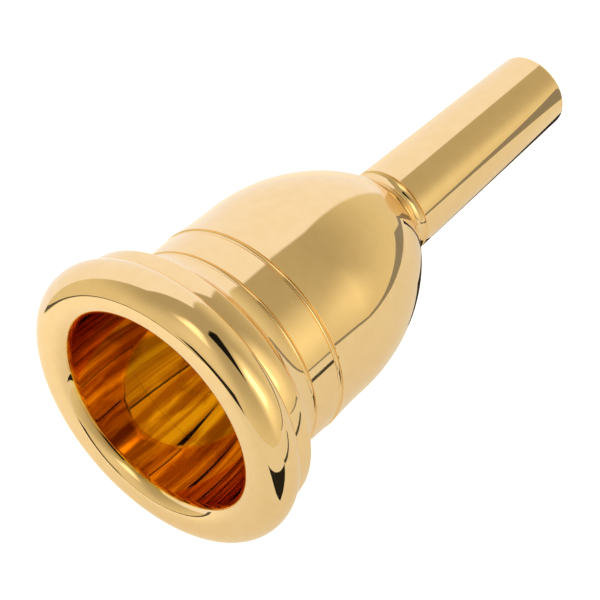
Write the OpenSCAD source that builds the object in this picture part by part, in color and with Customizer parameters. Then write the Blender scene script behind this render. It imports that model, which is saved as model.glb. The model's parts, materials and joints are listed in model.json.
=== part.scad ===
// Brass mouthpiece for a tuba, gold plated, that unscrews into a rim, a cup and a shank.
// Every outline is a list of [s, r] points: s is the distance from the face of the rim
// towards the shank, and r is the distance from the axis.

/* [Rim] */
// Outer diameter of the rim
rim_d = 50; // [49.6:0.1:50.4]
// Radius of the rim's rounded outer section
rim_round_r = 4; // [3.9:0.05:4.1]
// Radius of the rim's inner edge, where it turns into the cup
rim_bite_r = 2.6; // [2.4:0.1:2.8]
// Inner diameter of the cup just inside the rim
mouth_d = 35; // [34.6:0.1:35.4]
// Where the rim's rounding stops at the joint with the cup, in degrees from the axis
rim_crease_angle = 45; // [44:1:46]

/* [Cup] */
// Slope of the cup's wall just inside the rim, in degrees from the axis
cup_start_angle = 3; // [2:0.5:4]
// Steepest slope of the cup's wall, just before the throat, in degrees from the axis
cup_end_angle = 40; // [39:0.5:41]
// Radius that blends the cup into the throat
throat_round_r = 8; // [7:0.5:9]
// Diameter of the throat
throat_d = 8.2; // [8:0.05:8.4]
// Largest radius of the collar behind the rim
collar_r = 23.45; // [23.3:0.05:23.55]
// Radius of the body at its waist
body_r = 18.45; // [18.35:0.05:18.6]
// Radius of the curve that closes the body down to the neck
shoulder_arc_r = 33.7; // [33.5:0.1:34]
// Where the cup ends and the shank begins
neck_s = 55.9; // [55.6:0.1:56]

/* [Shank] */
// Overall length, from the face of the rim to the end of the shank
overall_l = 97.5; // [95:0.5:100]
// Diameter of the shank at its front edge
shank_front_d = 15.2; // [15:0.1:15.3]
// Diameter of the shank at its end
shank_end_d = 13.2; // [13:0.1:13.4]
// Diameter of the backbore at the end of the shank
backbore_d = 10.6; // [10.2:0.1:11]

/* [Joints] */
// Diameter of the rim's screwed spigot
rim_spigot_d = 39; // [38.8:0.1:39]
// Length of the rim's screwed spigot
rim_spigot_l = 4.8; // [4.6:0.1:4.9]
// Diameter of the shank's screwed spigot
shank_spigot_d = 11; // [10.9:0.1:11.2]
// Length of the shank's screwed spigot
shank_spigot_l = 9.5; // [9:0.1:9.8]
// Radial clearance between a spigot and its socket
spigot_clearance = 0.05; // [0.03:0.01:0.08]
// Gap that shows between two screwed-up pieces
seam_gap = 0.05; // [0.03:0.01:0.08]

/* [Hidden] */
$fn = 144;

// Rim section
rim_centre = [rim_round_r, rim_d / 2 - rim_round_r];
bite_centre = [rim_bite_r, mouth_d / 2 + rim_bite_r * cos(cup_start_angle)];
rim_rear_s = rim_round_r * (1 + cos(rim_crease_angle));
cup_front_s = rim_rear_s + seam_gap;
rim_tip_s = rim_rear_s + rim_spigot_l;
rim_spigot_r = rim_spigot_d / 2;
rim_socket_r = rim_spigot_r + spigot_clearance;
spigot_chamfer = 0.4;
socket_floor_gap = 0.03;
rim_socket_s = rim_tip_s + socket_floor_gap;

// The cup's wall is an arc that gets steeper from the rim to the throat
throat_r = throat_d / 2;
mouth_s = rim_bite_r * (1 - sin(cup_start_angle));
bowl_drop = mouth_d / 2 - throat_r - throat_round_r * (1 - cos(cup_end_angle));
bowl_arc_r = bowl_drop / (cos(cup_start_angle) - cos(cup_end_angle));
bowl_centre = [mouth_s - bowl_arc_r * sin(cup_start_angle), mouth_d / 2 - bowl_arc_r * cos(cup_start_angle)];
throat_s = bowl_centre.x + (bowl_arc_r + throat_round_r) * sin(cup_end_angle);
throat_round_centre = [throat_s, throat_r + throat_round_r];

// Collar: a crowned edge, then a cove down to the band
collar_crown_s = 8.4;
collar_crown_r = 8;
collar_edge_s = 9.6;
collar_edge_r = 0.9;
cove_start = [collar_edge_s + collar_edge_r, collar_r - 1.15];
cove_end = [15.95, 18.8];
cove_arc_r = 7.13;

// Band between two fine grooves
groove_r = 0.45;
groove_front_s = 16.4;
groove_rear_s = 22.6;
groove_centre_r = 18.85;
band_r = 18.75;
groove_drop_angle = asin((groove_centre_r - band_r) / groove_r);

// Body
body_front_s = 23.2;
body_waist_s = 31.5;
body_front_r = 18.85;
flare_arc_r = pow(body_waist_s - body_front_s, 2) / (2 * (body_front_r - body_r));
neck_angle = asin((neck_s - body_waist_s) / shoulder_arc_r);

// Shank
shank_spigot_r = shank_spigot_d / 2;
shank_socket_r = shank_spigot_r + spigot_clearance;
shank_face_s = neck_s + seam_gap;
shank_tip_s = shank_face_s - shank_spigot_l;
shank_lip_r = 7.95;
shank_lip_l = 0.2;
neck_cove_end_s = 58.6;
neck_cove_arc_r = 1.31;
shank_edge_r = 0.8;
shank_end_s = overall_l - shank_edge_r;
backbore_start_s = 52;

// Sealing rings
rim_ring_d = 0.94;
rim_ring_r = 21.1;
rim_ring_groove_w = 1.6;
rim_ring_groove_l = 0.9;
shank_ring_d = 0.88;
shank_ring_r = 4.95;
shank_ring_room = 0.9;
shank_shoulder_s = shank_tip_s - shank_ring_room;

// The mouthpiece lies on its side, on the rim and on the end of the shank
shank_end_centre = [shank_end_s, shank_end_d / 2 - shank_edge_r];
rest_span = shank_end_centre - rim_centre;
lie_angle = atan2(-rest_span.y, rest_span.x) + asin((rim_round_r - shank_edge_r) / norm(rest_span));
lie_z = rim_centre.x * sin(lie_angle) + rim_centre.y * cos(lie_angle) + rim_round_r;
lie_x_low = rim_centre.x * cos(lie_angle) - rim_centre.y * sin(lie_angle) - rim_round_r;
lie_x_high = shank_end_centre.x * cos(lie_angle) + shank_end_centre.y * sin(lie_angle) + shank_edge_r;

gold = [0.86, 0.68, 0.38];
rubber = [0.06, 0.06, 0.06];

// Points of an arc round a centre; angles are measured from the s direction towards r
function arc(centre, radius, from, to, steps) = [
    for (i = [0 : steps])
        let (angle = from + (to - from) * i / steps)
            [centre.x + radius * cos(angle), centre.y + radius * sin(angle)]
];

// Angle from the bowl's centre to the wall at distance s from the rim's face
function bowl_angle(s) = acos((s - bowl_centre.x) / bowl_arc_r);

// Centre of the arc of a given radius from one point to another, on the side away from the axis
function outer_centre(from, to, radius) =
    let (chord = to - from, middle = (from + to) / 2, height = sqrt(radius * radius - chord * chord / 4))
        middle + height / norm(chord) * [-chord.y, chord.x];

// Direction from one point to another, in degrees from the s direction, between 0 and 360
function heading(from, to) = (atan2(to.y - from.y, to.x - from.x) + 360) % 360;

// Turns an outline round the axis of the mouthpiece
module turned(outline) {
    rotate_extrude()
        polygon([for (point = outline) [point.y, point.x]]);
}

// A sealing ring of round section
module ring(s, radius, section_d) {
    translate([0, 0, s])
        rotate_extrude()
            translate([radius, 0])
                circle(d = section_d);
}

// Lays a piece down, from standing on the rim's face
module lay() {
    translate([-(lie_x_low + lie_x_high) / 2, 0, lie_z])
        rotate([0, 90 + lie_angle, 0])
            children();
}

// Rim with its screwed spigot, whose bore is the first part of the cup's wall
module rim() {
    color(gold)
        lay()
            turned(concat(
                arc(rim_centre, rim_round_r, 180, rim_crease_angle, 27),
                [
                    [rim_rear_s, rim_ring_r + rim_ring_groove_w / 2],
                    [rim_rear_s - rim_ring_groove_l, rim_ring_r + rim_ring_groove_w / 2],
                    [rim_rear_s - rim_ring_groove_l, rim_ring_r - rim_ring_groove_w / 2],
                    [rim_rear_s, rim_ring_r - rim_ring_groove_w / 2],
                    [rim_rear_s, rim_spigot_r],
                    [rim_tip_s - spigot_chamfer, rim_spigot_r],
                    [rim_tip_s, rim_spigot_r - spigot_chamfer],
                ],
                arc(bowl_centre, bowl_arc_r, bowl_angle(rim_tip_s), 90 - cup_start_angle, 3),
                arc(bite_centre, rim_bite_r, 270 - cup_start_angle - 6, 180, 12)
            ));
}

// Sealing ring in the groove of the rim's rear face
module rim_seal() {
    color(rubber)
        lay()
            ring(cup_front_s - seam_gap / 2 - rim_ring_groove_l / 2, rim_ring_r, rim_ring_d);
}

// Cup with its collar, band and body, from the rim's socket to the neck
module cup() {
    crown_centre = [collar_crown_s, collar_r - collar_crown_r];
    edge_centre = [collar_edge_s, collar_r - 0.1 - collar_edge_r];
    cove_centre = outer_centre(cove_start, cove_end, cove_arc_r);
    color(gold)
        lay()
            turned(concat(
                [[cup_front_s, rim_socket_r]],
                arc(crown_centre, collar_crown_r, acos((cup_front_s - collar_crown_s) / collar_crown_r), 82, 6),
                arc(edge_centre, collar_edge_r, 80, 0, 8),
                arc(cove_centre, cove_arc_r, heading(cove_centre, cove_start), heading(cove_centre, cove_end), 12),
                arc([groove_front_s, groove_centre_r], groove_r, 185, 360 - groove_drop_angle, 12),
                arc([groove_rear_s, groove_centre_r], groove_r, 180 + groove_drop_angle, 360, 12),
                arc([body_waist_s, body_r + flare_arc_r], flare_arc_r,
                    270 - asin((body_waist_s - body_front_s) / flare_arc_r), 269.5, 6),
                arc([body_waist_s, body_r - shoulder_arc_r], shoulder_arc_r, 90, 90 - neck_angle, 24),
                [
                    [neck_s, shank_socket_r],
                    [shank_shoulder_s, shank_socket_r],
                    [shank_shoulder_s, throat_r],
                ],
                arc(throat_round_centre, throat_round_r, 270, 270 - cup_end_angle, 6),
                arc(bowl_centre, bowl_arc_r, 90 - cup_end_angle + 1, bowl_angle(rim_socket_s), 12),
                [[rim_socket_s, rim_socket_r]]
            ));
}

// Sealing ring between the cup's inner shoulder and the tip of the shank's spigot
module shank_seal() {
    color(rubber)
        lay()
            ring(shank_shoulder_s + shank_ring_room / 2, shank_ring_r, shank_ring_d);
}

// Shank with its screwed spigot, the end of the throat and the backbore
module shank() {
    cove_from = [shank_face_s + shank_lip_l, shank_lip_r];
    cove_to = [neck_cove_end_s, shank_front_d / 2];
    cove_centre = outer_centre(cove_from, cove_to, neck_cove_arc_r);
    color(gold)
        lay()
            turned(concat(
                [
                    [shank_tip_s, throat_r],
                    [shank_tip_s, shank_spigot_r - spigot_chamfer],
                    [shank_tip_s + spigot_chamfer, shank_spigot_r],
                    [shank_face_s, shank_spigot_r],
                    [shank_face_s, shank_lip_r],
                ],
                arc(cove_centre, neck_cove_arc_r, heading(cove_centre, cove_from), heading(cove_centre, cove_to), 14),
                arc(shank_end_centre, shank_edge_r, 88, 0, 8),
                [
                    [overall_l, backbore_d / 2],
                    [backbore_start_s, throat_r],
                ]
            ));
}

rim();
rim_seal();
cup();
shank_seal();
shank();
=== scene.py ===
import json
from math import acos, asin, atan2, ceil, cos, degrees, radians, sin, sqrt, tan, tau

import bpy
import numpy as np
from mathutils import Matrix, Vector


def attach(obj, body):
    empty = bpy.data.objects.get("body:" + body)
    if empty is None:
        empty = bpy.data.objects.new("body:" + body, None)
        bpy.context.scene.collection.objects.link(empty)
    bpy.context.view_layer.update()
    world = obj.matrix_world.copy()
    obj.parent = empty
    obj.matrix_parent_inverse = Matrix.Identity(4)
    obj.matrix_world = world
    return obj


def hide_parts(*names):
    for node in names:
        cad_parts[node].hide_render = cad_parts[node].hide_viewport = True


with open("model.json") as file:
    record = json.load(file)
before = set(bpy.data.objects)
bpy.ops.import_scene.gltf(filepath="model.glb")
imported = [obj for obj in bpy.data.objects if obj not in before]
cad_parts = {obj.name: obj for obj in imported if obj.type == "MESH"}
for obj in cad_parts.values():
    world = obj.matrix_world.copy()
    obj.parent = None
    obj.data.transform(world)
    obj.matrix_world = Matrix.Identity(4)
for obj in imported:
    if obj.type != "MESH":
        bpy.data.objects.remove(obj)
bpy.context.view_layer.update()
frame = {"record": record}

# ---------------------------------------------------------------------------
# The mouthpiece's own frame: s runs along its axis from the rim's face, r is the
# distance from the axis. Both are in millimetres, as in the CAD source.
# ---------------------------------------------------------------------------
MM = 0.001
OVERALL_L = 97.5

mounts = {mount["name"]: mount for mount in frame["record"]["mounts"]}
along = Vector(mounts["shank_taper"]["axis"]).normalized()
shank_end = Vector(mounts["shank_taper"]["pos_m"])
rim_face = shank_end - OVERALL_L * MM * along
side = Vector((0.0, 1.0, 0.0))
over = side.cross(along)


def on_axis(s):
    """The point on the axis at s millimetres from the rim's face, in metres."""
    return rim_face + s * MM * along


# Rim
RIM_R = 25.0
RIM_ROUND_R = 4.0
BITE_R = 2.6
MOUTH_R = 17.5
CREASE_ANGLE = 45.0
rim_centre = (RIM_ROUND_R, RIM_R - RIM_ROUND_R)
rim_rear_s = RIM_ROUND_R * (1 + cos(radians(CREASE_ANGLE)))
RIM_SPIGOT_R = 19.5
RIM_SPIGOT_L = 4.8
RIM_RING_R = 21.1
RIM_RING_D = 0.94
RIM_RING_GROOVE_W = 1.6
RIM_RING_GROOVE_L = 0.9

# Cup
CUP_START_ANGLE = 3.0
CUP_END_ANGLE = 40.0
THROAT_ROUND_R = 8.0
THROAT_R = 4.1
COLLAR_R = 23.45
COLLAR_CROWN_R = 8.0
COLLAR_CROWN_S = 8.4
COLLAR_EDGE_R = 0.9
COLLAR_EDGE_CENTRE = (9.6, COLLAR_R - 1.0)
COVE_R = 7.13
COVE_START = (10.5, COLLAR_R - 1.15)
COVE_END = (15.95, 18.8)
FRONT_GROOVE_S = 16.4
REAR_GROOVE_S = 22.6
FLARE_START_S = 23.2
FLARE_START_R = 18.85
SHOULDER_S = 31.5
BODY_R = 18.45
SHOULDER_ARC_R = 33.7
NECK_S = 55.9
SEAM_GAP = 0.05
CLEARANCE = 0.05
SOCKET_FLOOR_GAP = 0.03
GROOVE_R = 0.45
GROOVE_CENTRE_R = 18.85
BAND_R = 18.75

# Shank
SHANK_FRONT_R = 7.6
SHANK_END_R = 6.6
SHANK_EDGE_R = 0.8
BACKBORE_R = 5.3
BACKBORE_START_S = 52.0
SHANK_SPIGOT_R = 5.5
SHANK_SPIGOT_L = 9.5
SHANK_RING_R = 4.95
SHANK_RING_D = 0.88
SHANK_RING_ROOM = 0.9
NECK_LIP_R = 7.95
NECK_LIP_L = 0.2
NECK_COVE_R = 1.31
NECK_COVE_END_S = 58.6

# Screw threads
PITCH = 1.0
THREAD_DEPTH = 0.35
THREAD_ROWS_PER_TURN = 12

# Finish
EDGE_R = 0.07
FINE_EDGE_R = 0.005
TURN_STEPS = 224

# Colours, as linear red, green and blue
GOLD_DULL = (0.93, 0.64, 0.30)
GOLD_LIGHT = (0.95, 0.665, 0.32)
# The cup's two colours are painted: a deeper tone as painted shade for the light the cup bounces inside
# itself, and a darker one for painted reflection streaking
CUP_PAINTED_SHADE = (0.92, 0.56, 0.05)
CUP_PAINTED_REFLECTION = (0.58, 0.27, 0.02)
RUBBER_CLEAN = (0.012, 0.012, 0.013)
RUBBER_DUSTY = (0.035, 0.034, 0.032)

bite_centre = (BITE_R, MOUTH_R + BITE_R * cos(radians(CUP_START_ANGLE)))
mouth_s = BITE_R * (1 - sin(radians(CUP_START_ANGLE)))
bowl_drop = MOUTH_R - THROAT_R - THROAT_ROUND_R * (1 - cos(radians(CUP_END_ANGLE)))
bowl_arc_r = bowl_drop / (cos(radians(CUP_START_ANGLE)) - cos(radians(CUP_END_ANGLE)))
bowl_centre = (
    mouth_s - bowl_arc_r * sin(radians(CUP_START_ANGLE)),
    MOUTH_R - bowl_arc_r * cos(radians(CUP_START_ANGLE)),
)
throat_s = bowl_centre[0] + (bowl_arc_r + THROAT_ROUND_R) * sin(radians(CUP_END_ANGLE))
cup_front_s = rim_rear_s + SEAM_GAP
rim_tip_s = rim_rear_s + RIM_SPIGOT_L
rim_socket_s = rim_tip_s + SOCKET_FLOOR_GAP
shank_face_s = NECK_S + SEAM_GAP
shank_tip_s = shank_face_s - SHANK_SPIGOT_L
shank_shoulder_s = shank_tip_s - SHANK_RING_ROOM


# ---------------------------------------------------------------------------
# Outlines: a list of strokes, each a list of (point, tangent) knots. They run
# clockwise round the section, so the outside is always on their left.
# ---------------------------------------------------------------------------
def arc(centre, radius, start, end, step=3.0):
    """An arc; its angles are in degrees, measured from the s direction towards r."""
    count = max(2, ceil(abs(end - start) / step))
    way = 1.0 if end > start else -1.0
    stroke = []
    for i in range(count + 1):
        angle = radians(start + (end - start) * i / count)
        point = Vector((centre[0] + radius * cos(angle), centre[1] + radius * sin(angle)))
        stroke.append((point, Vector((-way * sin(angle), way * cos(angle)))))
    return stroke


def points(*pairs):
    """Straight lines from point to point."""
    return [(Vector(pair), None) for pair in pairs]


def rows(start_s, end_s, radius):
    """A straight wall cut into rows fine enough to carry a screw thread."""
    count = ceil(abs(end_s - start_s) / PITCH * THREAD_ROWS_PER_TURN)
    return points(*((start_s + (end_s - start_s) * i / count, radius) for i in range(count + 1)))


def outer_centre(start, end, radius):
    """Centre of the arc of this radius between two points, on the side away from the axis."""
    chord = Vector(end) - Vector(start)
    height = sqrt(radius * radius - chord.length_squared / 4)
    middle = (Vector(start) + Vector(end)) / 2
    return middle + height / chord.length * Vector((-chord.y, chord.x))


def heading(centre, point):
    """Direction from centre to point in degrees, between 0 and 360."""
    return degrees(atan2(point[1] - centre[1], point[0] - centre[0])) % 360


def bowl_angle(s):
    """Angle, seen from the bowl's centre, of the cup's wall at distance s."""
    return degrees(acos((s - bowl_centre[0]) / bowl_arc_r))


def knots_of(strokes):
    """Joins strokes into one closed ring of [point, tangent before it, tangent after it]."""
    ring = []
    for stroke in strokes:
        for i, (point, tangent) in enumerate(stroke):
            before = tangent if i > 0 else None
            after = tangent if i < len(stroke) - 1 else None
            if ring and (ring[-1][0] - point).length < 1e-4:
                ring[-1][2] = after
            else:
                ring.append([point, before, after])
    if (ring[0][0] - ring[-1][0]).length < 1e-4:
        ring[0][1] = ring.pop()[1]
    for i, knot in enumerate(ring):
        if knot[1] is None:
            knot[1] = (knot[0] - ring[i - 1][0]).normalized()
        if knot[2] is None:
            knot[2] = (ring[(i + 1) % len(ring)][0] - knot[0]).normalized()
    return ring


def softened(ring, fine_s, sharp=6.0):
    """Rounds every corner of the ring that turns more than sharp degrees."""
    soft = []
    for i, (point, before, after) in enumerate(ring):
        turn = atan2(before.x * after.y - before.y * after.x, before.dot(after))
        room = min((point - ring[i - 1][0]).length, (ring[(i + 1) % len(ring)][0] - point).length)
        if abs(degrees(turn)) < sharp:
            soft.append([point, before, after])
            continue
        fine = fine_s is not None and abs(point.x - fine_s) < 1e-6
        trim = min((FINE_EDGE_R if fine else EDGE_R) * tan(abs(turn) / 2), 0.45 * room)
        fit = trim / tan(abs(turn) / 2)
        start = point - trim * before
        way = 1.0 if turn > 0 else -1.0
        centre = start + way * fit * Vector((-before.y, before.x))
        count = max(2, ceil(abs(degrees(turn)) / 12))
        for k in range(count + 1):
            spun = Matrix.Rotation(turn * k / count, 2)
            soft.append([centre + spun @ (start - centre), spun @ before, spun @ before])
    return soft


# ---------------------------------------------------------------------------
# Turning an outline round the axis
# ---------------------------------------------------------------------------
def cut_thread(s, angle, start_s, end_s, inside):
    """Depth of the thread's cut, from 0 to 1, for arrays of s and angle.

    A spigot's thread runs out to its root at both ends, and a socket's to the plain wall.
    """
    wave = 0.5 - 0.5 * np.cos(tau * (s / PITCH - angle / tau))
    fade = np.clip(np.minimum(s - start_s, end_s - s) / (0.5 * PITCH), 0, 1)
    return wave * fade if inside else 1 - (1 - wave) * fade


def turned(name, strokes, thread=None, fine_s=None):
    """A smooth mesh object turned from an outline round the axis, with exact normals.

    thread is (start s, end s, radius of the wall, True for a socket). Knots that round a
    corner aren't cut, so a spigot's thread begins and ends with a thin ring at full height.
    The corners at fine_s stay nearly sharp, so that the seam there hardly shows.
    """
    ring = softened(knots_of(strokes), fine_s)
    count = len(ring)
    s = np.array([knot[0].x for knot in ring])[:, None] * np.ones(TURN_STEPS)
    r = np.array([knot[0].y for knot in ring])[:, None] * np.ones(TURN_STEPS)
    angle = np.arange(TURN_STEPS)[None, :] * tau / TURN_STEPS * np.ones((count, 1))
    threaded = np.zeros(count, bool)
    if thread is not None:
        start_s, end_s, wall_r, inside = thread
        in_reach = (s[:, 0] > start_s - 1e-6) & (s[:, 0] < end_s + 1e-6)
        threaded = (np.abs(r[:, 0] - wall_r) < 1e-6) & in_reach
        cut = THREAD_DEPTH * cut_thread(s, angle, start_s, end_s, inside)
        r = np.where(threaded[:, None], r - cut, r)

    across = np.cos(angle)[..., None] * np.array(over) + np.sin(angle)[..., None] * np.array(side)
    where = np.array(rim_face) + MM * (s[..., None] * np.array(along) + r[..., None] * across)

    # One quad for each step between two knots and between two angles
    i = np.repeat(np.arange(count), TURN_STEPS)
    j = np.tile(np.arange(TURN_STEPS), count)
    i_next = (i + 1) % count
    j_next = (j + 1) % TURN_STEPS
    quads = np.stack([i * TURN_STEPS + j, i * TURN_STEPS + j_next,
                      i_next * TURN_STEPS + j_next, i_next * TURN_STEPS + j], axis=1)

    def normal_at(knot_i, angle_j, tangent_i):
        tangent = np.array([ring[k][tangent_i] for k in range(count)])
        out_s = -tangent[knot_i, 1]
        out_r = tangent[knot_i, 0]
        return out_s[:, None] * np.array(along) + out_r[:, None] * across[0, angle_j]

    at_this_knot = [normal_at(i, j, 2), normal_at(i, j_next, 2)]
    at_next_knot = [normal_at(i_next, j_next, 1), normal_at(i_next, j, 1)]
    normals = np.stack(at_this_knot + at_next_knot, axis=1)
    normals[threaded[i] | threaded[i_next]] = 0.0

    mesh = bpy.data.meshes.new(name)
    mesh.vertices.add(count * TURN_STEPS)
    mesh.vertices.foreach_set("co", where.reshape(-1))
    mesh.loops.add(quads.size)
    mesh.loops.foreach_set("vertex_index", quads.reshape(-1))
    mesh.polygons.add(len(quads))
    mesh.polygons.foreach_set("loop_start", np.arange(len(quads)) * 4)
    mesh.update(calc_edges=True)
    mesh.shade_smooth()
    mesh.normals_split_custom_set(normals.reshape(-1, 3))
    piece = bpy.data.objects.new(name, mesh)
    bpy.context.scene.collection.objects.link(piece)
    return piece


# ---------------------------------------------------------------------------
# The pieces
# ---------------------------------------------------------------------------
def make_rim():
    groove_top = RIM_RING_R + RIM_RING_GROOVE_W / 2
    groove_bottom = RIM_RING_R - RIM_RING_GROOVE_W / 2
    groove_s = rim_rear_s - RIM_RING_GROOVE_L
    root_r = RIM_SPIGOT_R - THREAD_DEPTH
    thread_start = rim_rear_s + 0.3
    thread_end = rim_tip_s - 0.4
    return turned("rim_plated", [
        arc(rim_centre, RIM_ROUND_R, 180, CREASE_ANGLE, 2.5),
        points((rim_rear_s, groove_top), (groove_s, groove_top), (groove_s, groove_bottom)),
        points((rim_rear_s, groove_bottom), (rim_rear_s, root_r), (thread_start - 0.05, root_r)),
        rows(thread_start, thread_end, RIM_SPIGOT_R),
        points((thread_end + 0.05, root_r), (rim_tip_s, root_r - 0.2)),
        arc(bowl_centre, bowl_arc_r, bowl_angle(rim_tip_s), 90 - CUP_START_ANGLE, 0.5),
        arc(bite_centre, BITE_R, 270 - CUP_START_ANGLE, 180, 3),
    ], (thread_start, thread_end, RIM_SPIGOT_R, False), rim_tip_s)


def cup_outside():
    """The cup's outside as a list of strokes, from the front of the collar to the neck."""
    crown_start = degrees(acos((cup_front_s - COLLAR_CROWN_S) / COLLAR_CROWN_R))
    collar_crown = arc((COLLAR_CROWN_S, COLLAR_R - COLLAR_CROWN_R), COLLAR_CROWN_R, crown_start, 82, 1)
    collar_edge = arc(COLLAR_EDGE_CENTRE, COLLAR_EDGE_R, 80, 0, 8)
    cove_centre = outer_centre(COVE_START, COVE_END, COVE_R)
    cove = arc(cove_centre, COVE_R, heading(cove_centre, COVE_START), heading(cove_centre, COVE_END), 3)
    drop = degrees(asin((GROOVE_CENTRE_R - BAND_R) / GROOVE_R))
    front_groove = arc((FRONT_GROOVE_S, GROOVE_CENTRE_R), GROOVE_R, 185, 360 - drop, 10)
    rear_groove = arc((REAR_GROOVE_S, GROOVE_CENTRE_R), GROOVE_R, 180 + drop, 360, 10)
    flare_l = SHOULDER_S - FLARE_START_S
    flare_r = flare_l * flare_l / (2 * (FLARE_START_R - BODY_R))
    flare_turn = degrees(asin(flare_l / flare_r))
    flare = arc((SHOULDER_S, BODY_R + flare_r), flare_r, 270 - flare_turn, 270, 0.4)
    neck_angle = degrees(asin((NECK_S - SHOULDER_S) / SHOULDER_ARC_R))
    shoulder = arc((SHOULDER_S, BODY_R - SHOULDER_ARC_R), SHOULDER_ARC_R, 90, 90 - neck_angle, 1)
    return [collar_crown, collar_edge, cove, front_groove, rear_groove, flare, shoulder]


def make_cup():
    socket_r = SHANK_SPIGOT_R + CLEARANCE
    rim_socket_r = RIM_SPIGOT_R + CLEARANCE
    thread = (shank_tip_s + 0.6, NECK_S - 0.5, socket_r, True)
    throat_centre = (throat_s, THROAT_R + THROAT_ROUND_R)
    strokes = [points((cup_front_s, rim_socket_r))]
    strokes.extend(cup_outside())
    strokes.append(points((NECK_S, socket_r)))
    strokes.append(rows(thread[1], thread[0], socket_r))
    strokes.append(points((shank_shoulder_s, socket_r), (shank_shoulder_s, THROAT_R)))
    strokes.append(arc(throat_centre, THROAT_ROUND_R, 270, 270 - CUP_END_ANGLE, 3))
    strokes.append(arc(bowl_centre, bowl_arc_r, 90 - CUP_END_ANGLE, bowl_angle(rim_socket_s), 0.5))
    strokes.append(points((rim_socket_s, rim_socket_r)))
    return turned("cup_plated", strokes, thread, rim_socket_s)


def make_shank():
    root_r = SHANK_SPIGOT_R - THREAD_DEPTH
    thread_start = shank_tip_s + 1.0
    thread_end = shank_face_s - 0.9
    cove_start = (shank_face_s + NECK_LIP_L, NECK_LIP_R)
    cove_end = (NECK_COVE_END_S, SHANK_FRONT_R)
    cove_centre = outer_centre(cove_start, cove_end, NECK_COVE_R)
    end_centre = (OVERALL_L - SHANK_EDGE_R, SHANK_END_R - SHANK_EDGE_R)
    return turned("shank_plated", [
        points((shank_tip_s, THROAT_R), (shank_tip_s, root_r - 0.15), (shank_tip_s + 0.3, root_r)),
        points((thread_start - 0.05, root_r)),
        rows(thread_start, thread_end, SHANK_SPIGOT_R),
        points((thread_end + 0.05, root_r), (shank_face_s, root_r), (shank_face_s, NECK_LIP_R)),
        arc(cove_centre, NECK_COVE_R, heading(cove_centre, cove_start), heading(cove_centre, cove_end), 8),
        arc(end_centre, SHANK_EDGE_R, 88.5, 0, 6),
        points((OVERALL_L, BACKBORE_R), (BACKBORE_START_S, THROAT_R)),
    ], (thread_start, thread_end, SHANK_SPIGOT_R, False))


def make_seal(name, s, radius, section_d):
    return turned(name, [arc((s, radius), section_d / 2, 180, -180, 15)])


rim = make_rim()
cup = make_cup()
shank = make_shank()
rim_ring_s = cup_front_s - SEAM_GAP / 2 - RIM_RING_GROOVE_L / 2
shank_ring_s = shank_shoulder_s + SHANK_RING_ROOM / 2
rim_seal = make_seal("rim_seal_ring", rim_ring_s, RIM_RING_R, RIM_RING_D)
shank_seal = make_seal("shank_seal_ring", shank_ring_s, SHANK_RING_R, SHANK_RING_D)

for piece, node, body in [
    (rim, "rim", "rim_body"),
    (rim_seal, "rim_seal", "rim_seal_body"),
    (cup, "cup", "cup_body"),
    (shank_seal, "shank_seal", "shank_seal_body"),
    (shank, "shank", "shank_body"),
]:
    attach(piece, body)
    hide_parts(node)


# ---------------------------------------------------------------------------
# Materials
# ---------------------------------------------------------------------------
def add_node(tree, kind, inputs=None, **settings):
    """Adds a node; inputs gives a value, or another node's output, for each input name or number."""
    node = tree.nodes.new(kind)
    for name, value in settings.items():
        setattr(node, name, value)
    for name, value in (inputs or {}).items():
        if isinstance(value, bpy.types.NodeSocket):
            tree.links.new(value, node.inputs[name])
        else:
            node.inputs[name].default_value = value
    return node


def calculate(tree, operation, *values):
    """The output of a Math node."""
    return add_node(tree, "ShaderNodeMath", dict(enumerate(values)), operation=operation).outputs[0]


def component(tree, vector, direction):
    """How far a vector reaches along a fixed direction."""
    node = add_node(tree, "ShaderNodeVectorMath", {0: vector, 1: direction}, operation="DOT_PRODUCT")
    return node.outputs["Value"]


def ramp(tree, value, low, high, start, end):
    """A smooth change from start to end while value goes from low to high."""
    limits = {"Value": value, "From Min": low, "From Max": high, "To Min": start, "To Max": end}
    return add_node(tree, "ShaderNodeMapRange", limits, interpolation_type="SMOOTHSTEP").outputs["Result"]


def mix_colours(tree, factor, first, second):
    """A blend of two colours, each given as numbers or as another node's output."""
    node = add_node(tree, "ShaderNodeMix", {0: factor}, data_type="RGBA")
    for socket, colour in ((node.inputs[6], first), (node.inputs[7], second)):
        if isinstance(colour, bpy.types.NodeSocket):
            tree.links.new(colour, socket)
        else:
            socket.default_value = (*colour, 1)
    return node.outputs[2]


def noise(tree, place, scale, detail):
    """The output of a smooth noise whose largest features are about 1 / scale millimetres."""
    inputs = {"Vector": place, "Scale": scale, "Detail": detail}
    return add_node(tree, "ShaderNodeTexNoise", inputs).outputs["Fac"]


def blank_material(name):
    material = bpy.data.materials.new(name)
    material.use_nodes = True
    return material, material.node_tree, material.node_tree.nodes["Principled BSDF"]


def lathe_coordinates(tree):
    """Distance along the axis and from it, in millimetres, and the point in the lathe's own frame."""
    place = add_node(tree, "ShaderNodeTexCoord").outputs["Object"]
    shift = add_node(tree, "ShaderNodeVectorMath", {0: place, 1: rim_face}, operation="SUBTRACT").outputs[0]
    in_mm = add_node(tree, "ShaderNodeVectorMath", {0: shift, "Scale": 1 / MM}, operation="SCALE").outputs[0]
    s = component(tree, in_mm, along)
    x = component(tree, in_mm, over)
    y = component(tree, in_mm, side)
    x_squared = calculate(tree, "MULTIPLY", x, x)
    y_squared = calculate(tree, "MULTIPLY", y, y)
    r = calculate(tree, "SQRT", calculate(tree, "ADD", x_squared, y_squared))
    point = add_node(tree, "ShaderNodeCombineXYZ", {"X": s, "Y": x, "Z": y}).outputs[0]
    return s, r, point


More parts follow.
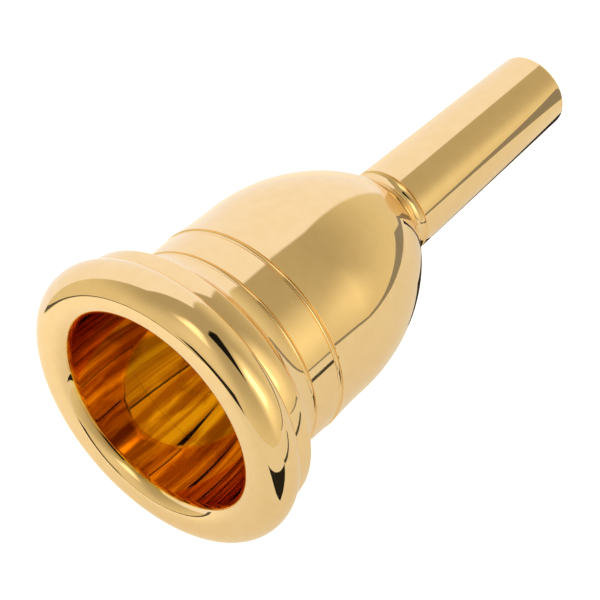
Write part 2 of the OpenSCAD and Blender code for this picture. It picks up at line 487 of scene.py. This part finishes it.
def make_gold():
    """Mirror-polished gold plate with faint turning marks, wipe marks and a few specks.

    The wall of the cup, down to the throat, has painted shade: a deeper tone with dark painted reflection
    streaking, standing in for the reflections inside the cup.
    """
    material, tree, shader = blank_material("gold_plate")
    s, r, point = lathe_coordinates(tree)

    rings = add_node(tree, "ShaderNodeCombineXYZ", {"X": s, "Y": r}).outputs[0]
    turning = noise(tree, rings, 6.0, 3.0)
    swell = noise(tree, point, 0.16, 2.0)
    haze = noise(tree, point, 0.45, 4.0)
    specks = add_node(tree, "ShaderNodeTexVoronoi", {"Vector": point, "Scale": 0.35}).outputs["Distance"]
    pit = ramp(tree, specks, 0.03, 0.06, 1.0, 0.0)

    tone = ramp(tree, haze, 0.3, 0.7, 0.0, 1.0)
    plate = mix_colours(tree, tone, GOLD_DULL, GOLD_LIGHT)
    # Painted shade and painted reflection: the cup's wall from the bite to the throat gets a deeper colour
    # with a dark streak pattern, standing in for the reflections inside the cup
    past_bite = ramp(tree, r, MOUTH_R, MOUTH_R + 0.4, 1.0, 0.0)
    within_wall = ramp(tree, calculate(tree, "MULTIPLY_ADD", s, 0.2, r), 18.6, 18.9, 1.0, 0.0)
    before_throat = ramp(tree, s, throat_s, throat_s + 3.0, 1.0, 0.0)
    in_bowl = calculate(tree, "MULTIPLY", past_bite, within_wall)
    painted_cup_mask = calculate(tree, "MULTIPLY", in_bowl, before_throat)
    round_axis = add_node(tree, "ShaderNodeCombineXYZ", {
        "X": calculate(tree, "DIVIDE", component(tree, point, (0, 1, 0)), r),
        "Y": calculate(tree, "DIVIDE", component(tree, point, (0, 0, 1)), r),
        "Z": calculate(tree, "MULTIPLY", s, 0.03),
    }).outputs[0]
    # Painted reflection: dark streaking round the axis that runs along the cup towards the throat
    painted_reflection_streaks = noise(tree, round_axis, 3.2, 3.0)
    painted_cup_colour = mix_colours(tree, ramp(tree, painted_reflection_streaks, 0.42, 0.56, 0.0, 1.0), CUP_PAINTED_REFLECTION, CUP_PAINTED_SHADE)
    tree.links.new(mix_colours(tree, painted_cup_mask, plate, painted_cup_colour), shader.inputs["Base Color"])
    shader.inputs["Metallic"].default_value = 1.0

    gloss = ramp(tree, haze, 0.35, 0.75, 0.022, 0.05)
    dull = calculate(tree, "MULTIPLY_ADD", pit, 0.25, gloss)
    tree.links.new(dull, shader.inputs["Roughness"])

    marks = calculate(tree, "MULTIPLY_ADD", turning, 0.0004, calculate(tree, "MULTIPLY", swell, 0.012))
    height = calculate(tree, "SUBTRACT", marks, calculate(tree, "MULTIPLY", pit, 0.004))
    bump = add_node(tree, "ShaderNodeBump", {"Height": height, "Distance": MM, "Strength": 1.0})
    tree.links.new(bump.outputs["Normal"], shader.inputs["Normal"])
    return material


def make_rubber():
    """Matt black rubber with a fine moulded grain and a little dust."""
    material, tree, shader = blank_material("seal_rubber")
    point = lathe_coordinates(tree)[2]
    grain = noise(tree, point, 14.0, 4.0)
    dust = noise(tree, point, 1.2, 3.0)
    dustiness = ramp(tree, dust, 0.45, 0.75, 0.0, 1.0)
    tree.links.new(mix_colours(tree, dustiness, RUBBER_CLEAN, RUBBER_DUSTY), shader.inputs["Base Color"])
    tree.links.new(ramp(tree, grain, 0.2, 0.8, 0.5, 0.75), shader.inputs["Roughness"])
    bump = add_node(tree, "ShaderNodeBump", {"Height": grain, "Distance": 0.02 * MM, "Strength": 0.6})
    tree.links.new(bump.outputs["Normal"], shader.inputs["Normal"])
    return material


gold_plate = make_gold()
seal_rubber = make_rubber()
for piece in (rim, cup, shank):
    piece.data.materials.append(gold_plate)
for piece in (rim_seal, shank_seal):
    piece.data.materials.append(seal_rubber)


# ---------------------------------------------------------------------------
# Studio: a world painted with soft panels, cards near the mouthpiece, and the floor
# ---------------------------------------------------------------------------
def toward(azimuth, elevation):
    """Unit vector; azimuth is measured from +X towards +Y, both in degrees."""
    level = cos(radians(elevation))
    return Vector((level * cos(radians(azimuth)), level * sin(radians(azimuth)), sin(radians(elevation))))


def panel(tree, direction, corners, softness):
    """1 inside the panel with these corners, 0 outside, with an edge softness degrees wide."""
    looks = [toward(*corner) for corner in corners]
    middle = sum(looks, Vector()).normalized()
    mask = 1.0
    half = radians(softness) / 2
    for i, look in enumerate(looks):
        inward = look.cross(looks[(i + 1) % len(looks)]).normalized()
        if inward.dot(middle) < 0:
            inward.negate()
        edge = ramp(tree, component(tree, direction, inward), -half, half, 0.0, 1.0)
        mask = calculate(tree, "MULTIPLY", mask, edge)
    return mask


# Each panel: its corners as (azimuth, elevation), the softness of its edge, and its light
PANELS = [
    ([(158, 8), (-160, 8), (-152, 72), (150, 72)], 34, (0.86, 0.82, 0.67)),
    ([(-92, 4), (-46, 4), (-42, 50), (-90, 52)], 26, (1.15, 1.10, 0.84)),
    ([(-82, 20), (-62, 18), (-60, 44), (-80, 46)], 10, (2.0, 1.95, 1.6)),
    ([(152, 54), (-166, 54), (-166, 76), (152, 76)], 10, (1.5, 1.45, 1.2)),
    ([(14, -62), (127, -62), (102, 47), (17, 47)], 3, (1.0, 1.04, 1.18)),
    ([(-99, 42), (-24, 62), (-24, 73), (-60, 82), (-103, 82)], 3, (0.01, 0.01, 0.01)),
    ([(163, -4), (-166, -4), (-166, 8), (170, 6)], 2, (0.02, 0.02, 0.02)),
]
ROOM_LOW = (0.80, 0.76, 0.58)
ROOM_HIGH = (0.47, 0.44, 0.33)

# The floor and the board under it, in millimetres, and the floor's own light
FLOOR_HALF = 3000
FLOOR_GLOW = 0.8
BOARD = [(-600, -600, -0.5), (175, -600, -0.5), (60, 0, -0.5), (50, 52, -0.5), (-600, 52, -0.5)]

# Each card: its name, its light, and its corners in millimetres
CARDS = [
    ("dark_wedge", 0.02, [(-54, -47, 0.1), (-125, -72, 0.1), (-45, -115, 0.1)]),
    ("end_edge", 0.3, [
        (175, -600, 0), (61, 0, 0), (61, 0, 5), (63.3, -12, 5),
        (64.8, -20, 14), (80, -100, 7), (175, -600, 7),
    ]),
    ("side_edge", 0.12, [(-62, 53, 0), (-420, 53, 0), (-420, 53, 7), (-62, 53, 5)]),
    ("front_edge", 0.08, [(-45, -113, 0), (30, -98, 0), (30, -98, 6), (-45, -113, 6)]),
    # body_shade and shank_shade are painted shadow: dark cards on the floor under the body and the shank,
    # where the mouthpiece's own shadow falls
    ("body_shade", 0.03, [(4, -15, 0.1), (16, -15, 0.1), (18, -8, 0.1), (18, 4, 0.1), (4, 4, 0.1)]),
    ("shank_shade", 0.03, [(18, -6, 0.1), (54, -9, 0.1), (54, 5, 0.1), (18, 4, 0.1)]),
]


def make_world():
    world = bpy.data.worlds.new("studio")
    world.use_nodes = True
    tree = world.node_tree
    direction = add_node(tree, "ShaderNodeTexCoord").outputs["Generated"]
    height = component(tree, direction, (0, 0, 1))
    light = mix_colours(tree, ramp(tree, height, -0.2, 0.9, 0.0, 1.0), ROOM_LOW, ROOM_HIGH)
    for corners, softness, shine in PANELS:
        light = mix_colours(tree, panel(tree, direction, corners, softness), light, shine)
    tree.links.new(light, tree.nodes["Background"].inputs["Color"])
    bpy.context.scene.world = world


def flat_object(name, corners, material):
    mesh = bpy.data.meshes.new(name)
    places = [tuple(MM * value for value in corner) for corner in corners]
    mesh.from_pydata(places, [], [tuple(range(len(corners)))])
    mesh.materials.append(material)
    thing = bpy.data.objects.new(name, mesh)
    bpy.context.scene.collection.objects.link(thing)
    return thing


def glow(name, level):
    material, _, shader = blank_material(name)
    shader.inputs["Base Color"].default_value = (0, 0, 0, 1)
    shader.inputs["Specular IOR Level"].default_value = 0.0
    shader.inputs["Emission Color"].default_value = (1, 1, 1, 1)
    shader.inputs["Emission Strength"].default_value = level
    return material


def card(name, corners, level):
    """A card that only shows in the mouthpiece's polish."""
    thing = flat_object(name, corners, glow(name, level))
    thing.visible_camera = False
    thing.visible_diffuse = False
    thing.visible_shadow = False


def paper_material(name, colour):
    """Matt paper that also gives off a little white light."""
    material, _, shader = blank_material(name)
    shader.inputs["Base Color"].default_value = (*colour, 1)
    shader.inputs["Roughness"].default_value = 0.9
    shader.inputs["Specular IOR Level"].default_value = 0.0
    shader.inputs["Emission Color"].default_value = (1, 1, 1, 1)
    return material, shader


def make_floor():
    """The floor, which only the camera sees."""
    paper, shader = paper_material("paper", (0.9, 0.9, 0.9))
    shader.inputs["Emission Strength"].default_value = FLOOR_GLOW
    x = FLOOR_HALF
    floor = flat_object("floor", [(-x, -x, 0), (x, -x, 0), (x, x, 0), (-x, x, 0)], paper)
    floor.visible_glossy = False
    floor.visible_diffuse = False
    floor.visible_shadow = False


def make_board():
    """The part of the floor that the polish reflects, a board that ends behind the shank."""
    paint, shader = paper_material("board", (0.8, 0.83, 0.88))
    tree = paint.node_tree
    place = add_node(tree, "ShaderNodeTexCoord").outputs["Object"]
    # Painted light: the board glows on top of the light it gets, more towards +Y
    glow_level = ramp(tree, component(tree, place, (0, 1, 0)), -0.04, 0.05, 0.28, 0.52)
    tree.links.new(glow_level, shader.inputs["Emission Strength"])
    board = flat_object("board", BOARD, paint)
    board.visible_camera = False
    board.visible_diffuse = False
    board.visible_shadow = False


def make_cards():
    for name, level, corners in CARDS:
        card(name, corners, level)


# Camera: degrees, metres, and the point it aims at, with the small shift that centres the view
CAMERA_ELEVATION = 59.36
CAMERA_HEADING = 40.30
CAMERA_DISTANCE = 0.43207
CAMERA_LENS = 166.4
AIM_S = 34.0
AIM_RIGHT = 1.12 * MM
AIM_UP = -0.91 * MM


def make_camera():
    lens = bpy.data.cameras.new("camera")
    lens.sensor_width = 36.0
    lens.lens = CAMERA_LENS
    lens.clip_start = 0.01
    camera = bpy.data.objects.new("camera", lens)
    bpy.context.scene.collection.objects.link(camera)
    tilt = radians(90 - CAMERA_ELEVATION)
    turn = radians(CAMERA_HEADING - 90)
    camera.rotation_euler = (tilt, 0, turn)
    facing = Matrix.Rotation(turn, 3, "Z") @ Matrix.Rotation(tilt, 3, "X")
    camera.location = on_axis(AIM_S) + facing @ Vector((AIM_RIGHT, AIM_UP, CAMERA_DISTANCE))
    bpy.context.scene.camera = camera


make_world()
make_floor()
make_board()
make_cards()
make_camera()
bpy.context.scene.view_settings.view_transform = "Standard"
bpy.context.scene.cycles.glossy_bounces = 12
